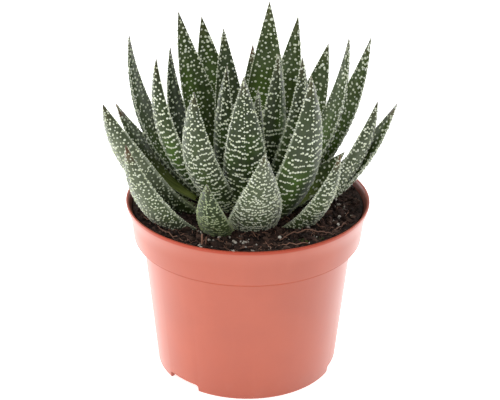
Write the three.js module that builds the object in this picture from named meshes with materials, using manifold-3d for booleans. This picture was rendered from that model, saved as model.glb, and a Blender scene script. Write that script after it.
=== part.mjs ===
// Potted gasteria: a spotted succulent rosette in a round plastic nursery pot.
// Millimetres, +Z up. The origin is on the pot's axis, on the plane its feet stand on.
// The front of the plant is towards -Y, and +X is to the right.
// Azimuths are in degrees from the front (-Y), positive towards +X.

import * as THREE from 'three';
import { mergeVertices } from 'three/addons/utils/BufferGeometryUtils.js';
import Module from 'manifold-3d';

const wasm = await Module();
wasm.setup();

// ---------- driving dimensions ----------

const CLEARANCE = 0.3;            // gap kept between neighbouring pieces

// pot
const POT_HEIGHT = 88.8;
const LIP_RADIUS = 60;            // 120 mm across the lip
const LIP_DEPTH = 3.2;            // height of the flare under the lip's top
const LIP_LAND = 1.6;             // flat top of the lip
const COLLAR_TOP_RADIUS = 58.1;
const COLLAR_FOOT_RADIUS = 56.3;
const COLLAR_HEIGHT = 20.2;
const BODY_TOP_RADIUS = 51.9;
const BASE_RADIUS = 45.3;
const WALL = 1.5;
const FLOOR_RAISE = 4;            // height of the foot ring
const FLOOR_THICKNESS = 1.8;
const FOOT_RING_WIDTH = 2.4;
const NOTCH_AZIMUTHS = [76.5, 196.5, 316.5];
const NOTCH_WIDTH = 19.5;
const DRAIN_RADIUS = 4.5;
const DRAIN_REACH = 33;
const POT_SIDES = 36;

// soil and stem
const SOIL_DROP = 4.2;            // soil edge below the lip
const SOIL_MOUND = 2.2;           // rise of the soil towards the crown
const SOIL_ROUGHNESS = 0.8;
const SOIL_SIDES = 28;
const HOLLOW_RADIUS = 25;         // the leaf roots stand in a plain hollow round the stem
const HOLLOW_BOTTOM = 72;
const STEM_RADIUS = 9;
const STEM_BOTTOM = 62;
const STEM_SHOULDER = 83;
const STEM_TOP = 91;

// leaf form, shared by every leaf
const FULL_WIDTH_AT = 0.68;       // fraction of the length, from the tip, where a leaf is widest
const TAPER_POWER = 1.75;         // how full the sides are between there and the tip
const ROOT_NARROWING = 0.22;      // share of the width lost again at the root
const KEEL_DEPTH = 0.52;          // thickness of the keeled back, as a share of the half width
const CHANNEL_RISE = 0.12;        // how far the edges stand above the inner face's middle
const TUBERCLE_BASE = 1.3;
const TUBERCLE_HEIGHT = 0.65;
const TOOTH_HEIGHT = 0.55;
const TUBERCLES_FROM = 0.36;      // the crowded lower part of a leaf is left smooth
const HEEL = -0.13;               // each leaf runs on past its root point, down towards the stem
const STATIONS = [HEEL, 0.02, 0.18, 0.33, 0.47, 0.6, 0.71, 0.81, 0.9];

// Every leaf: azimuth of its root, turn of its tip from that azimuth, reach (distance from the
// axis) and height of root and tip, bow of its midline, half width, and twist towards the tip.
// They run from the innermost, youngest leaf to the outermost, oldest one.
const LEAVES = [
  leaf('leaf_core_1', [10, 0], [8, 85], [24.5, 155.5], 6, 5.5, 4),
  leaf('leaf_core_2', [-42, -5], [8, 86], [14, 161], 10, 7.8, 8),
  leaf('leaf_core_3', [54, -3], [5, 86], [17, 167], 7, 10, -15),
  leaf('leaf_core_4', [205, 16], [6, 86], [19, 171], 7, 9.5, -8),
  leaf('leaf_inner_1', [158, -1], [9, 83], [24, 182], 10, 11.5, 14),
  leaf('leaf_inner_2', [59, -2], [5, 86], [29, 167.5], 17, 10, -20),
  leaf('leaf_inner_3', [217, 22], [7, 84], [40, 177], 12, 11, -18),
  leaf('leaf_inner_4', [-79, 0], [9, 86], [44, 163.5], 24, 10.6, 38),
  leaf('leaf_inner_5', [-1, -3], [10, 82], [34.5, 164.5], 7, 10.8, 3),
  leaf('leaf_inner_6', [147, 1], [12, 82], [45, 169.5], 8, 10.5, 8),
  leaf('leaf_middle_1', [103, -2], [9, 84], [48, 168.5], 22, 9, 23),
  leaf('leaf_middle_2', [201, 11], [13, 83], [45, 169], 8, 11.5, -14),
  leaf('leaf_middle_3', [-51, 7], [8, 86], [36, 154], 20, 11.7, 19),
  leaf('leaf_middle_4', [46, -3], [12, 82], [41, 163.5], 21, 12.6, -18),
  leaf('leaf_middle_5', [-115, 15], [16, 85], [58, 168.5], 28, 9.4, -9),
  leaf('leaf_middle_6', [114, -6], [12, 84], [61.5, 165.5], 21, 9.5, 27),
  leaf('leaf_middle_7', [-117, -6], [16, 80], [46, 157.5], 18, 8.2, -10),
  leaf('leaf_middle_8', [178, 0], [15, 80], [48, 151.5], 6, 8, 0),
  leaf('leaf_middle_9', [127, 2], [13, 82], [50, 158], 10, 11.5, 22),
  leaf('leaf_outer_1', [-83, -4], [17, 83], [69.5, 138.5], 22, 15.5, 58),
  leaf('leaf_outer_2', [86, 5], [18, 80], [61.5, 139.5], 20, 11.5, -50),
  leaf('leaf_outer_3', [5, 4], [17, 79], [47.5, 132.5], 13, 12.4, 18),
  leaf('leaf_outer_4', [92, -12], [13, 80], [47, 117], 4, 8, 52),
  leaf('leaf_outer_5', [-112, 11], [14, 83], [66, 132.5], 18, 9.6, -16),
  leaf('leaf_outer_6', [-60, 0], [21, 76], [65, 130], 22, 13.8, 22),
  leaf('leaf_outer_7', [99, -6], [19, 79], [71.3, 137.5], 16, 9.7, 22),
  leaf('leaf_outer_8', [53, 0], [19, 77], [53, 126], 14, 12.3, 4),
  leaf('leaf_outer_9', [-28, 9], [27, 79], [57, 120.3], 7, 8.8, -7),
  leaf('leaf_back_1', [150, 3], [18, 79], [62, 134], 15, 9.5, 6),
  leaf('leaf_back_2', [-168, 4], [18, 79], [58, 137], 14, 9.5, -5),
  leaf('leaf_back_3', [-140, -2], [18, 79], [64, 131], 15, 9, -8),
  leaf('leaf_back_4', [168, -3], [20, 78], [60, 120], 13, 8.5, 4),
  leaf('leaf_back_5', [128, 3], [20, 78], [66, 124], 14, 9, 8),
];

const COLOURS = {
  pot: 0xc96f58,
  soil: 0x2a1d16,
  stem: 0x8c9660,
  leaf: 0x3f5f36,
};

function leaf(name, [azimuth, tipTurn], [rootReach, rootHeight], [tipReach, tipHeight], bow, halfWidth, twist) {
  return { name, azimuth, tipTurn, rootReach, rootHeight, tipReach, tipHeight, bow, halfWidth, twist };
}

// ---------- small helpers ----------

const radians = THREE.MathUtils.degToRad;

// Seeded random numbers from 0 to 1, the same on every run.
function seededRandom(seed) {
  let state = seed;
  return () => {
    state = (state * 1664525 + 1013904223) % 4294967296;
    return state / 4294967296;
  };
}

// Point at a reach from the axis, an azimuth from the front and a height.
function polar(reach, azimuth, height) {
  const angle = radians(azimuth);
  return new THREE.Vector3(reach * Math.sin(angle), -reach * Math.cos(angle), height);
}

function toSolid(geometry) {
  const merged = weld(geometry);
  return new wasm.Manifold(new wasm.Mesh({
    numProp: 3,
    vertProperties: new Float32Array(merged.attributes.position.array),
    triVerts: new Uint32Array(merged.index.array),
  }));
}

function toGeometry(solid) {
  const mesh = solid.getMesh();
  const geometry = new THREE.BufferGeometry();
  geometry.setAttribute('position', new THREE.BufferAttribute(new Float32Array(mesh.vertProperties), 3));
  geometry.setIndex(new THREE.BufferAttribute(new Uint32Array(mesh.triVerts), 1));
  return geometry;
}

// A cut can leave loose scraps behind: only the largest body stays.
function largestBody(solid) {
  const bodies = solid.decompose();
  return bodies.reduce((best, body) => (body.volume() > best.volume() ? body : best));
}

// Solid of revolution about Z from a closed profile of [radius, height] points.
function turned(profile, sides) {
  const points = profile.map(([radius, height]) => new THREE.Vector2(radius, height));
  const geometry = new THREE.LatheGeometry(points, sides);
  geometry.rotateX(Math.PI / 2);
  return geometry;
}

function piece(name, geometry, colour, roughness) {
  const material = new THREE.MeshStandardMaterial({ color: colour, roughness, metalness: 0 });
  const mesh = new THREE.Mesh(geometry, material);
  mesh.name = name;
  return mesh;
}

// ---------- pot ----------

const COLLAR_FOOT = POT_HEIGHT - COLLAR_HEIGHT;
const FLOOR_TOP = FLOOR_RAISE + FLOOR_THICKNESS;

// Outer radius of the tapering body at a height.
function bodyRadius(height) {
  return BASE_RADIUS + (BODY_TOP_RADIUS - BASE_RADIUS) * (height / COLLAR_FOOT);
}

function potGeometry() {
  const outside = [
    [0, FLOOR_RAISE],
    [BASE_RADIUS - FOOT_RING_WIDTH, FLOOR_RAISE],
    [BASE_RADIUS - FOOT_RING_WIDTH, 0],
    [BASE_RADIUS, 0],
    [bodyRadius(COLLAR_FOOT - 1.5), COLLAR_FOOT - 1.5],
    [BODY_TOP_RADIUS + 0.8, COLLAR_FOOT],
    [COLLAR_FOOT_RADIUS - 0.6, COLLAR_FOOT],
    [COLLAR_FOOT_RADIUS, COLLAR_FOOT + 0.8],
    [COLLAR_TOP_RADIUS, POT_HEIGHT - LIP_DEPTH],
    [LIP_RADIUS - 0.4, POT_HEIGHT - 1.5],
    [LIP_RADIUS, POT_HEIGHT - 0.6],
    [LIP_RADIUS - 0.4, POT_HEIGHT],
  ];
  const inside = [
    [LIP_RADIUS - 0.4 - LIP_LAND, POT_HEIGHT],
    [COLLAR_TOP_RADIUS - WALL, POT_HEIGHT - LIP_DEPTH],
    [COLLAR_FOOT_RADIUS - WALL, COLLAR_FOOT + WALL + 1],
    [BODY_TOP_RADIUS - WALL, COLLAR_FOOT],
    [bodyRadius(FLOOR_TOP) - WALL, FLOOR_TOP],
    [0, FLOOR_TOP],
  ];
  let pot = toSolid(turned([...outside, ...inside], POT_SIDES));
  for (const azimuth of NOTCH_AZIMUTHS) {
    const notch = new THREE.BoxGeometry(NOTCH_WIDTH, 12, 2 * FLOOR_RAISE);
    notch.translate(0, -BASE_RADIUS, 0);
    notch.rotateZ(radians(azimuth));
    pot = pot.subtract(toSolid(notch));
    const drain = new THREE.CylinderGeometry(DRAIN_RADIUS, DRAIN_RADIUS, 10, 12);
    drain.rotateX(Math.PI / 2);
    drain.translate(0, -DRAIN_REACH, FLOOR_TOP);
    drain.rotateZ(radians(azimuth));
    pot = pot.subtract(toSolid(drain));
  }
  return toGeometry(pot);
}

// ---------- soil and stem ----------

const SOIL_EDGE = POT_HEIGHT - SOIL_DROP;

// Inner radius of the pot's wall at a height, as the profile above draws it.
function innerRadius(height) {
  const collarInside = COLLAR_FOOT + WALL + 1;
  if (height <= COLLAR_FOOT) {
    const low = bodyRadius(FLOOR_TOP) - WALL;
    const share = (height - FLOOR_TOP) / (COLLAR_FOOT - FLOOR_TOP);
    return low + (BODY_TOP_RADIUS - WALL - low) * share;
  }
  const share = (height - collarInside) / (POT_HEIGHT - LIP_DEPTH - collarInside);
  return COLLAR_FOOT_RADIUS - WALL + (COLLAR_TOP_RADIUS - COLLAR_FOOT_RADIUS) * share;
}

// Height of the smooth soil surface at a distance from the axis.
function soilHeight(reach) {
  const edge = innerRadius(SOIL_EDGE);
  return SOIL_EDGE + SOIL_MOUND * (1 - (reach / edge) ** 2);
}

// Soil body with a conical hollow for the crown of leaf roots and a plain hole for the stem.
// "grow" swells its top and its hollow, for cutting clearance in a leaf.
function soilGeometry(grow) {
  const gap = CLEARANCE * 1.2;
  const hole = STEM_RADIUS + gap;
  const collarInside = COLLAR_FOOT + WALL + 1;
  const rings = [1, 0.82, 0.66];
  const edge = innerRadius(SOIL_EDGE) - gap;
  const profile = [
    [0, FLOOR_TOP + CLEARANCE],
    [innerRadius(FLOOR_TOP) - gap, FLOOR_TOP + CLEARANCE],
    [innerRadius(COLLAR_FOOT) - gap, COLLAR_FOOT + 0.2],
    [innerRadius(collarInside) - gap, collarInside + 0.2],
    ...rings.map((share) => [edge * share, soilHeight(edge * share) + grow]),
    [HOLLOW_RADIUS - grow, soilHeight(HOLLOW_RADIUS) + grow],
    [hole + 2, HOLLOW_BOTTOM + grow],
    [hole, HOLLOW_BOTTOM + grow],
    [hole, STEM_BOTTOM - CLEARANCE],
    [0, STEM_BOTTOM - CLEARANCE],
  ];
  const merged = weld(turned(profile, SOIL_SIDES));
  const position = merged.attributes.position;
  const random = seededRandom(11);
  for (let i = 0; i < position.count; i += 1) {
    const reach = Math.hypot(position.getX(i), position.getY(i));
    const onTop = position.getZ(i) > SOIL_EDGE - 0.5 && reach > HOLLOW_RADIUS - 1;
    const drop = random() * SOIL_ROUGHNESS;
    if (onTop && grow === 0) {
      position.setZ(i, position.getZ(i) - drop);
    }
  }
  return merged;
}

function weld(geometry) {
  const bare = geometry.clone();
  bare.deleteAttribute('normal');
  bare.deleteAttribute('uv');
  return mergeVertices(bare, 1e-4);
}

function stemGeometry(grow) {
  const radius = STEM_RADIUS + grow;
  return turned([
    [0, STEM_BOTTOM - grow],
    [radius * 0.7, STEM_BOTTOM - grow],
    [radius, STEM_BOTTOM + 4],
    [radius, STEM_SHOULDER],
    [radius * 0.72, STEM_TOP - 2.5 + grow],
    [0, STEM_TOP + grow],
  ], 16);
}

// ---------- leaves ----------

// Half width of a leaf, as a share of its largest, at a fraction of its length from the root.
function widthShare(along) {
  const fromTip = 1 - along;
  const rise = Math.min(fromTip / FULL_WIDTH_AT, 1);
  const low = Math.max((fromTip - FULL_WIDTH_AT) / (1 - FULL_WIDTH_AT), 0);
  return (1 - (1 - rise) ** TAPER_POWER) * (1 - ROOT_NARROWING * low * low);
}

function thicknessShare(along) {
  const rise = Math.min((1 - along) / 0.85, 1);
  return 0.92 * (1 - (1 - rise) ** 1.7) + 0.08;
}

// Midline and local axes of a leaf: across (left to right seen from outside) and inward.
function leafAxes(spec, along) {
  const root = polar(spec.rootReach, spec.azimuth, spec.rootHeight);
  const tip = polar(spec.tipReach, spec.azimuth + spec.tipTurn, spec.tipHeight);
  const middle = radians(spec.azimuth + spec.tipTurn / 2);
  const side = new THREE.Vector3(Math.cos(middle), Math.sin(middle), 0);
  const chord = tip.clone().sub(root).normalize();
  const inwardOfChord = chord.clone().cross(side).normalize();
  const knee = root.clone().multiplyScalar(0.55).addScaledVector(tip, 0.45)
    .addScaledVector(inwardOfChord, -spec.bow);
  const curve = new THREE.QuadraticBezierCurve3(root, knee, tip);
  const tangent = curve.getTangent(Math.max(along, 0));
  const across = side.clone().addScaledVector(tangent, -side.dot(tangent)).normalize();
  const inward = tangent.clone().cross(across).normalize();
  const turn = radians(spec.twist) * Math.max(along, 0);
  const acrossTurned = across.clone().multiplyScalar(Math.cos(turn)).addScaledVector(inward, Math.sin(turn));
  const inwardTurned = inward.clone().multiplyScalar(Math.cos(turn)).addScaledVector(across, -Math.sin(turn));
  const centre = curve.getPoint(Math.max(along, 0));
  centre.addScaledVector(tangent, Math.min(along, 0) * curve.getLength());
  return { centre, across: acrossTurned, inward: inwardTurned };
}

// Section of a leaf, from the left edge over the channelled inner face to the right edge,
// then back round the keeled outer face: [share across, share of rise or of depth].
const SECTION = [
  [-1, 1],
  [-0.4, 0.1],
  [0.4, 0.1],
  [1, 1],
  [0.92, -0.3],
  [0.5, -0.78],
  [0, -1],
  [-0.5, -0.78],
  [-0.92, -0.3],
];
const EDGE_CELLS = [3, 8];        // the narrow bands of the section that carry the teeth

function leafRing(spec, along, grow) {
  const { centre, across, inward } = leafAxes(spec, along);
  const halfWidth = spec.halfWidth * widthShare(along);
  const depth = spec.halfWidth * KEEL_DEPTH * thicknessShare(along);
  return SECTION.map(([share, level]) => {
    const rise = level > 0 ? level * halfWidth * CHANNEL_RISE + grow : level * depth - grow;
    const width = share * halfWidth + Math.sign(share) * grow;
    return centre.clone().addScaledVector(across, width).addScaledVector(inward, rise);
  });
}

// Leaf body as triangles. "grow" swells it evenly, for cutting clearance in a neighbour.
// The relief is a tooth on each band of the edges, and tubercles in staggered transverse rows.
function leafGeometry(spec, grow, relief) {
  const positions = [];
  const triangle = (a, b, c) => positions.push(...a.toArray(), ...b.toArray(), ...c.toArray());
  const rings = STATIONS.map((along) => leafRing(spec, along, grow));
  const count = SECTION.length;
  const random = seededRandom(Math.round(spec.azimuth * 7 + spec.tipHeight * 13 + 5000));

  for (let band = 0; band < rings.length - 1; band += 1) {
    for (let cell = 0; cell < count; cell += 1) {
      const next = (cell + 1) % count;
      const corners = [rings[band][next], rings[band][cell], rings[band + 1][cell], rings[band + 1][next]];
      const onEdge = EDGE_CELLS.includes(cell);
      const smooth = !relief || STATIONS[band] < TUBERCLES_FROM;
      const jitter = random();
      if (smooth) {
        flatCell(triangle, corners);
      } else if (onEdge) {
        toothCell(triangle, corners);
      } else if ((band + cell) % 2 === 0) {
        tubercleCell(triangle, corners, jitter);
      } else {
        flatCell(triangle, corners);
      }
    }
  }
  const root = leafAxes(spec, HEEL).centre;
  const tip = leafAxes(spec, 1).centre;
  const last = rings[rings.length - 1];
  for (let cell = 0; cell < count; cell += 1) {
    const next = (cell + 1) % count;
    triangle(rings[0][cell], rings[0][next], root);
    triangle(last[next], last[cell], tip);
  }
  const geometry = new THREE.BufferGeometry();
  geometry.setAttribute('position', new THREE.Float32BufferAttribute(positions, 3));
  return geometry;
}

function flatCell(triangle, [a, b, c, d]) {
  triangle(a, b, c);
  triangle(a, c, d);
}

function cellNormal([a, b, c, d]) {
  return c.clone().sub(a).cross(d.clone().sub(b)).normalize();
}

// The whole cell rises to a blunt tooth at its middle.
function toothCell(triangle, corners) {
  const [a, b, c, d] = corners;
  const peak = a.clone().add(b).add(c).add(d).multiplyScalar(0.25)
    .addScaledVector(cellNormal(corners), TOOTH_HEIGHT);
  triangle(a, b, peak);
  triangle(b, c, peak);
  triangle(c, d, peak);
  triangle(d, a, peak);
}

// A small three-sided tubercle stands in the middle of the cell.
function tubercleCell(triangle, corners, jitter) {
  const [a, b, c, d] = corners;
  const across = b.clone().sub(a).add(c).sub(d).multiplyScalar(0.5);
  const along = d.clone().sub(a).add(c).sub(b).multiplyScalar(0.5);
  const slide = (jitter - 0.5) * 0.3;
  const spanAcross = Math.min(TUBERCLE_BASE / across.length(), 0.6) / 2;
  const spanAlong = Math.min(TUBERCLE_BASE / along.length(), 0.6) / 2;
  const at = (u, v) => {
    const low = a.clone().lerp(b, u);
    const high = d.clone().lerp(c, u);
    return low.lerp(high, v);
  };
  const middle = 0.5 + slide;
  const left = at(middle - spanAcross, 0.5 - spanAlong);
  const right = at(middle + spanAcross, 0.5 - spanAlong);
  const top = at(middle, 0.5 + spanAlong);
  const peak = left.clone().add(right).add(top).multiplyScalar(1 / 3)
    .addScaledVector(cellNormal(corners), TUBERCLE_HEIGHT);
  triangle(a, b, right);
  triangle(a, right, left);
  triangle(a, left, d);
  triangle(b, c, right);
  triangle(right, c, top);
  triangle(c, d, top);
  triangle(top, d, left);
  triangle(left, right, peak);
  triangle(right, top, peak);
  triangle(top, left, peak);
}

// Younger leaves keep their form, and each older leaf is cut clear of them where they crowd.
function leafSolids() {
  const swollenStem = toSolid(stemGeometry(CLEARANCE));
  const swollenSoil = toSolid(soilGeometry(CLEARANCE));
  const swollen = [];
  const solids = [];
  for (const spec of LEAVES) {
    let solid = toSolid(leafGeometry(spec, 0, true)).subtract(swollenStem).subtract(swollenSoil);
    for (const neighbour of swollen) {
      solid = solid.subtract(neighbour);
    }
    solids.push([spec.name, largestBody(solid)]);
    swollen.push(toSolid(leafGeometry(spec, CLEARANCE, true)));
  }
  return solids;
}

// ---------- assembly ----------

const group = new THREE.Group();
group.add(piece('pot', potGeometry(), COLOURS.pot, 0.45));
group.add(piece('soil', soilGeometry(0), COLOURS.soil, 0.95));
group.add(piece('stem', stemGeometry(0), COLOURS.stem, 0.8));
for (const [name, solid] of leafSolids()) {
  group.add(piece(name, toGeometry(solid), COLOURS.leaf, 0.5));
}

export default group;
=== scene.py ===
"""Potted gasteria: a rosette of pointed, white-toothed leaves in a plastic nursery pot with a tall collar.

Run as it is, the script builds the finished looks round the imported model. Installed by hand it would be an
add-on: each piece has an operator, and the sidebar panel "Potted gasteria" lists them in working order.
"""

import math
import random

import bpy
import numpy as np
from bpy.props import FloatProperty, FloatVectorProperty, IntProperty, PointerProperty
from bpy.types import Operator, Panel, PropertyGroup
from mathutils import Matrix, Vector, noise


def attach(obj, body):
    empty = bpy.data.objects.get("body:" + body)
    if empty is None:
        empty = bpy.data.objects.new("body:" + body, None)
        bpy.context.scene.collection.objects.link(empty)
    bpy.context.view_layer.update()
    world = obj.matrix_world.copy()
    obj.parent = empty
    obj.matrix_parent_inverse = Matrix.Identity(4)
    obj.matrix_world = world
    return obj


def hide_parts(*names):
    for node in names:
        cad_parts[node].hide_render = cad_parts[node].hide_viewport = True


bl_info = {
    "name": "Potted gasteria",
    "version": (1, 0, 0),
    "blender": (4, 5, 0),
    "location": "View3D > Sidebar > Potted gasteria",
    "description": "Builds a spotted succulent rosette in its nursery pot",
    "category": "Add Mesh",
}

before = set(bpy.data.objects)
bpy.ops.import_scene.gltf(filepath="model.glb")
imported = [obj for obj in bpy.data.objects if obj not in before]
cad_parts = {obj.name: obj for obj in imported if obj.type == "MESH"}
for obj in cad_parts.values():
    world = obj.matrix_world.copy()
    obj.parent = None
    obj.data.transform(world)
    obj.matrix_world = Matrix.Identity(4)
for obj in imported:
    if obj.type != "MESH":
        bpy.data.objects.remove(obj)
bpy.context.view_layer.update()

MM = 0.001

# How each leaf stands: name, azimuth from the front and how far its tip turns round (degrees), how far out
# and how high its root and tip are (mm), how far it bows outward (mm), half its width (mm), twist (degrees).
# All but the back leaves' rows began as the rounded result of a fit. Some were then changed.
LEAVES = [
    ("core_1", (10, 0), (8, 85), (24.5, 155.5), 6, 5.5, 4),
    ("core_2", (-42, -5), (8, 86), (14, 161), 10, 7.8, 8),
    ("core_3", (54, -3), (5, 86), (17, 167), 7, 10, -15),
    ("core_4", (205, 16), (6, 86), (19, 171), 7, 9.5, -8),
    ("inner_1", (158, -1), (9, 83), (24, 182), 10, 11.5, 14),
    ("inner_2", (59, -2), (5, 86), (29, 167.5), 17, 10, -20),
    ("inner_3", (217, 22), (7, 84), (40, 177), 12, 11, -18),
    ("inner_4", (-79, 0), (9, 86), (44, 163.5), 24, 10.6, 38),
    ("inner_5", (-1, -3), (10, 82), (34.5, 164.5), 7, 10.8, 3),
    ("inner_6", (147, 1), (12, 82), (45, 169.5), 8, 10.5, 8),
    ("middle_1", (103, -2), (9, 84), (48, 168.5), 22, 9, 23),
    ("middle_2", (201, 11), (13, 83), (45, 169), 8, 11.5, -14),
    ("middle_3", (-51, 7), (8, 86), (36, 154), 20, 11.7, 19),
    ("middle_4", (46, -3), (12, 82), (41, 163.5), 21, 12.6, -18),
    ("middle_5", (-115, 15), (16, 85), (58, 168.5), 28, 9.4, -9),
    ("middle_6", (114, -6), (12, 84), (61.5, 165.5), 21, 9.5, 27),
    ("middle_7", (-117, -6), (16, 80), (46, 157.5), 18, 8.2, -10),
    ("middle_8", (178, 0), (15, 80), (48, 151.5), 6, 8, 0),
    ("middle_9", (127, 2), (13, 82), (50, 158), 10, 11.5, 22),
    ("outer_1", (-83, -4), (17, 83), (69.5, 138.5), 22, 15.5, 58),
    ("outer_2", (86, 5), (18, 80), (61.5, 139.5), 20, 11.5, -50),
    ("outer_3", (5, 4), (17, 79), (47.5, 132.5), 13, 12.4, 18),
    ("outer_4", (92, -12), (13, 80), (47, 117), 4, 8, 52),
    ("outer_5", (-112, 11), (14, 83), (66, 132.5), 18, 9.6, -16),
    ("outer_6", (-60, 0), (21, 76), (65, 130), 22, 13.8, 22),
    ("outer_7", (99, -6), (19, 79), (71.3, 137.5), 16, 9.7, 22),
    ("outer_8", (53, 0), (19, 77), (53, 126), 14, 12.3, 4),
    ("outer_9", (-28, 9), (27, 79), (57, 120.3), 7, 8.8, -7),
    ("back_1", (150, 3), (18, 79), (62, 134), 15, 9.5, 6),
    ("back_2", (-168, 4), (18, 79), (58, 137), 14, 9.5, -5),
    ("back_3", (-140, -2), (18, 79), (64, 131), 15, 9, -8),
    ("back_4", (168, -3), (20, 78), (60, 120), 13, 8.5, 4),
    ("back_5", (128, 3), (20, 78), (66, 124), 14, 9, 8),
]
# How red the sun has turned a leaf's tip.
BLUSH = {"outer_5": 0.9, "outer_6": 0.6, "outer_8": 0.5, "outer_7": 0.4, "middle_8": 0.9}
# How yellow its foot is: partly its own colour, partly painted light that brightens the shaded foot.
YELLOW_FOOT = {
    "outer_1": 0.7, "outer_5": 1.5, "outer_4": 1.5, "outer_9": 1.6, "outer_8": 0.8, "outer_3": 0.5,
    "outer_6": 0.5, "middle_4": 0.6,
}
# Where a leaf has a fresh green patch: how far along it, and how far across.
FRESH = {
    "inner_1": (0.55, 0.35), "inner_3": (0.64, 0.35), "middle_9": (0.55, -0.4), "middle_4": (0.34, -0.45),
    "middle_6": (0.45, -0.2), "middle_1": (0.5, 0.0), "middle_5": (0.4, 0.3), "inner_4": (0.5, 0.4),
    "core_3": (0.6, 0.3), "middle_2": (0.7, -0.2), "outer_4": (0.45, 0.0),
}
# How faint its warts are.
FAINT = {"outer_9": 0.75, "outer_6": 0.22, "outer_8": 0.15, "outer_1": 0.12, "core_1": 0.2}
# How much darker its skin is. The other leaves draw theirs, 0..1.
DARK = {"core_4": 1.6, "middle_7": 2.2, "middle_5": 1.5, "outer_5": 0.8, "outer_9": 1.9}
# How much grey lies on a leaf's outer face, partly waxy bloom and partly painted sheen, and how far apart
# its rows of warts are (mm).
BLOOM_AND_SHEEN = {
    "outer_3": 0.75, "outer_1": 1.0, "outer_6": 0.8, "outer_8": 0.55, "outer_7": 0.8, "outer_2": 0.8,
    "outer_9": 0.05, "middle_3": 0.45, "middle_5": 0.12, "middle_6": 0.5, "middle_4": 0.2, "middle_1": 0.4,
    "inner_5": 0.04, "inner_4": 0.2, "inner_2": 0.1, "core_1": 0.1, "core_2": 0.1, "core_3": 0.1,
}
ROW_GAP = {
    "outer_3": 1.8, "outer_1": 2.1, "outer_6": 1.6, "outer_8": 1.9, "outer_7": 2.0, "outer_2": 2.1,
    "outer_9": 1.9, "middle_3": 2.4, "inner_5": 3.0, "middle_4": 3.4,
}
# Where a leaf's material finds its traits, and what they are on a leaf that isn't listed.
LEAF_TRAITS = {
    "blush": (BLUSH, 0.15),
    "yellow": (YELLOW_FOOT, 0.25),
    "faint": (FAINT, 0),
    "bloom_and_sheen": (BLOOM_AND_SHEEN, 0.3),
}


# ---------------------------------------------------------------- settings

def colour_of(name, description, colour):
    """A colour setting."""
    return FloatVectorProperty(name=name, description=description, default=colour, subtype="COLOR")


class PotSettings(PropertyGroup):
    """Sizes of the pot."""

    height: FloatProperty(name="Height", description="Foot to lip", default=0.0888, unit="LENGTH")
    lip: FloatProperty(name="Lip", description="Radius of the lip", default=0.06, unit="LENGTH")
    base: FloatProperty(name="Foot", description="Radius of the foot", default=0.0453, unit="LENGTH")
    collar: FloatProperty(name="Collar", description="Depth of the collar", default=0.0202, unit="LENGTH")
    wall: FloatProperty(name="Wall", description="Thickness of the wall", default=0.0015, unit="LENGTH")
    notch: FloatProperty(name="Notch", description="Width of a foot notch", default=0.0195, unit="LENGTH")
    drain: FloatProperty(name="Drain", description="Radius of a drain hole", default=0.0045, unit="LENGTH")
    steps: IntProperty(name="Steps", description="Facets round the pot", default=192)
    plastic: colour_of("Plastic", "Main colour of the pot", (0.385, 0.057, 0.015))


class SoilSettings(PropertyGroup):
    """Sizes of the soil."""

    edge: FloatProperty(name="Edge", description="Height at the wall", default=0.0846, unit="LENGTH")
    mound: FloatProperty(name="Mound", description="Rise towards the middle", default=0.0022, unit="LENGTH")
    lumps: FloatProperty(name="Lumps", description="Height of the clods", default=0.0023, unit="LENGTH")
    grit: IntProperty(name="Grit", description="Number of loose crumbs", default=3200)
    perlite: IntProperty(name="Perlite", description="Number of heaps of white grains", default=75)
    peat: colour_of("Peat", "Colour of the drier peat", (0.034, 0.019, 0.015))


class LeafSettings(PropertyGroup):
    """What all the leaves share."""

    keel: FloatProperty(name="Keel", description="Thickness over half the width", default=0.52)
    channel: FloatProperty(name="Channel", description="Edges' rise over half the width", default=0.12)
    rows: IntProperty(name="Rows", description="Rows of facets from root to tip", default=76)
    tooth: FloatProperty(name="Tooth", description="Length of a tooth", default=0.00075, unit="LENGTH")
    wart: FloatProperty(name="Wart", description="Height of a white wart", default=0.00038, unit="LENGTH")
    inner: colour_of("Inner face", "Lighter green of the inner face", (0.066, 0.102, 0.016))
    outer: colour_of("Outer face", "Lighter green of the outer face", (0.028, 0.045, 0.009))
    cream: colour_of("Warts", "Lighter colour of the warts", (0.8, 0.845, 0.69))


class StageSettings(PropertyGroup):
    """Camera and light."""

    lens: FloatProperty(name="Lens", description="Focal length in mm", default=102.15)
    elevation: FloatProperty(name="Elevation", description="Above level", default=0.4428, subtype="ANGLE")
    distance: FloatProperty(name="Distance", description="Camera to middle", default=0.7, unit="LENGTH")
    aim: FloatProperty(name="Aim", description="Height looked at", default=0.0869, unit="LENGTH")
    sky: FloatProperty(name="Sky", description="Brightness of the surroundings", default=0.58)


# ---------------------------------------------------------------- shader nodes

class Value:
    """A number or colour in a node tree. Arithmetic on it adds Math nodes."""

    def __init__(self, paint, socket):
        self.paint = paint
        self.socket = socket

    def maths(self, operation, *terms):
        """What this Math node makes of the terms."""
        node = self.paint.node("ShaderNodeMath", {"operation": operation}, dict(enumerate(terms)))
        return Value(self.paint, node.outputs[0])

    def __add__(self, other):
        return self.maths("ADD", self, other)

    def __radd__(self, other):
        return self.maths("ADD", other, self)

    def __sub__(self, other):
        return self.maths("SUBTRACT", self, other)

    def __rsub__(self, other):
        return self.maths("SUBTRACT", other, self)

    def __mul__(self, other):
        return self.maths("MULTIPLY", self, other)

    def __rmul__(self, other):
        return self.maths("MULTIPLY", other, self)

    def __pow__(self, other):
        return self.maths("POWER", self, other)

    def size(self):
        """Its size without its sign."""
        return self.maths("ABSOLUTE", self)

    def or_more(self, other):
        """The greater of the two."""
        return self.maths("MAXIMUM", self, other)

    def from_to(self, low, high):
        """0 below low and 1 above high, smooth between them. Low may be the greater."""
        inputs = {"Value": self, "From Min": low, "From Max": high}
        node = self.paint.node("ShaderNodeMapRange", {"interpolation_type": "SMOOTHSTEP"}, inputs)
        return Value(self.paint, node.outputs["Result"])


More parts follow.
